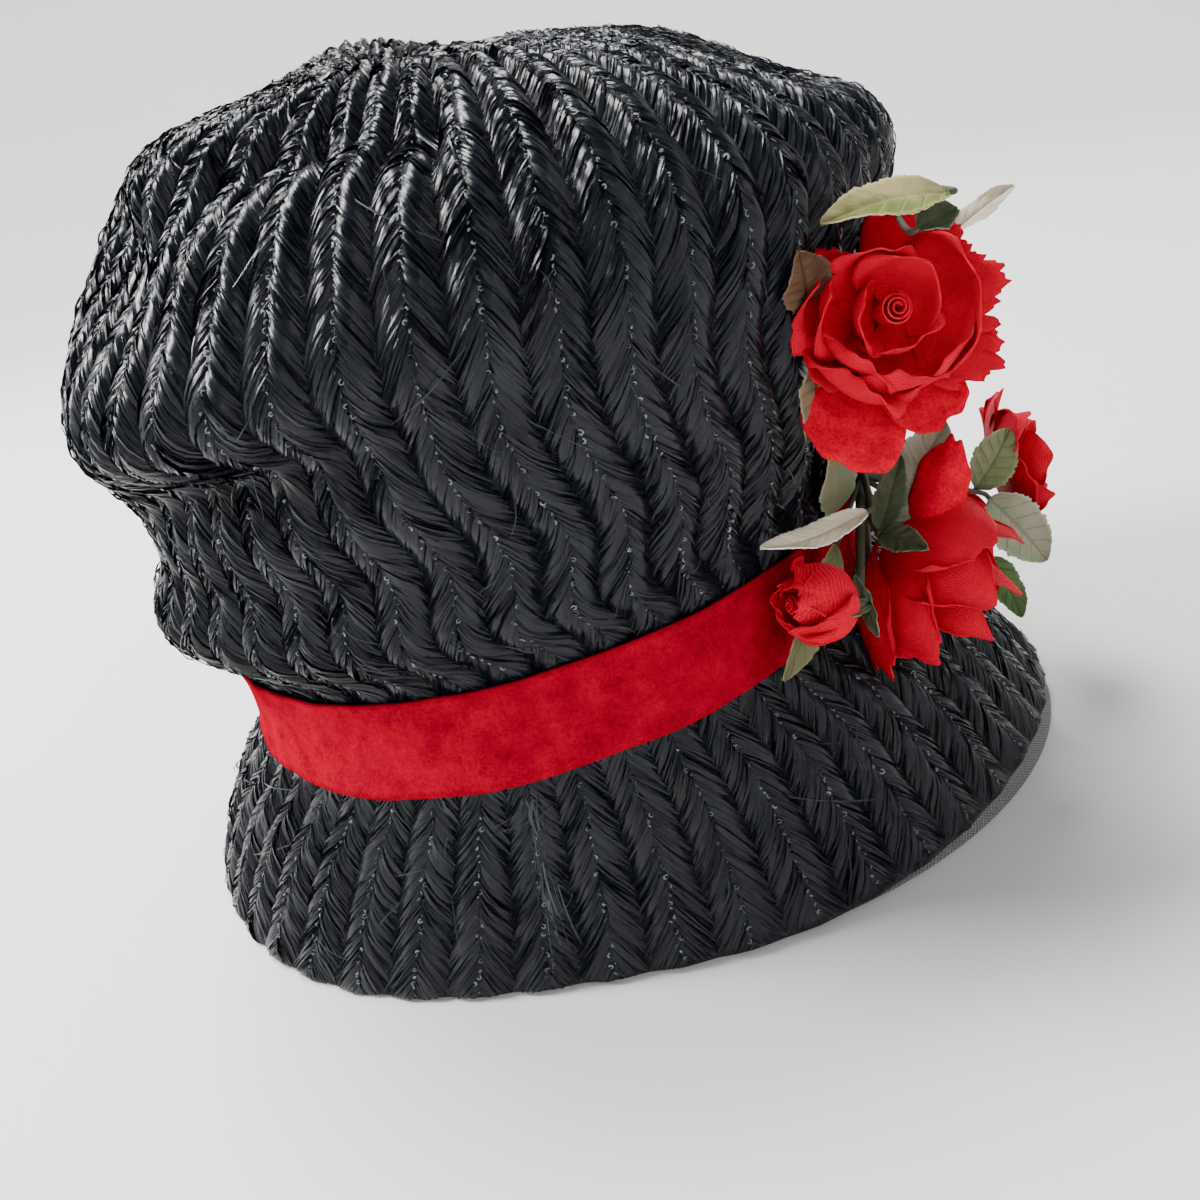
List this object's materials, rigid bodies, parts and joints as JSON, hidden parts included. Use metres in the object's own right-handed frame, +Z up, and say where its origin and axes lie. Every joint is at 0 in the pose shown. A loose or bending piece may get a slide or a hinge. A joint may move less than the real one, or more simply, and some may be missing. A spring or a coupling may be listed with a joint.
{
  "type": "bubble hat",
  "caption": "Soft black bubble hat of fishtail straw braid with a sloping brim, a red velvet band and a side spray of cloth roses and leaves.",
  "frame": {"origin": "middle of the hat's bounding box, on the surface that the rim rests on", "axes": "+Z up through the crown, -Y the hat's front that the picture shows, +X its side with the spray"},
  "size_m": [0.278, 0.2294, 0.2206],
  "materials": {
    "straw": "glossy cellophane straw",
    "net": "coarse net",
    "velvet": "velvet",
    "petals": "satin and velvet",
    "leaf_cloth": "matt cloth",
    "stem_tape": "paper tape"
  },
  "bodies": {
    "root": {"crown": "straw", "brim": "straw", "brim_net": "net", "band": "velvet", "spray_stem": "stem_tape", "rose_large": "petals", "rose_lower": "petals", "rose_rear": "petals", "rosebud": "petals", "leaf_crown": "leaf_cloth", "leaf_peak": "leaf_cloth", "leaf_pale": "leaf_cloth", "leaf_brown": "leaf_cloth", "leaf_beige": "leaf_cloth", "leaf_long": "leaf_cloth", "leaf_curl": "leaf_cloth", "leaf_bud": "leaf_cloth", "leaf_middle": "leaf_cloth", "leaf_dark": "leaf_cloth", "leaf_olive": "leaf_cloth", "leaf_right": "leaf_cloth", "leaf_low": "leaf_cloth"}
  },
  "joints": []
}
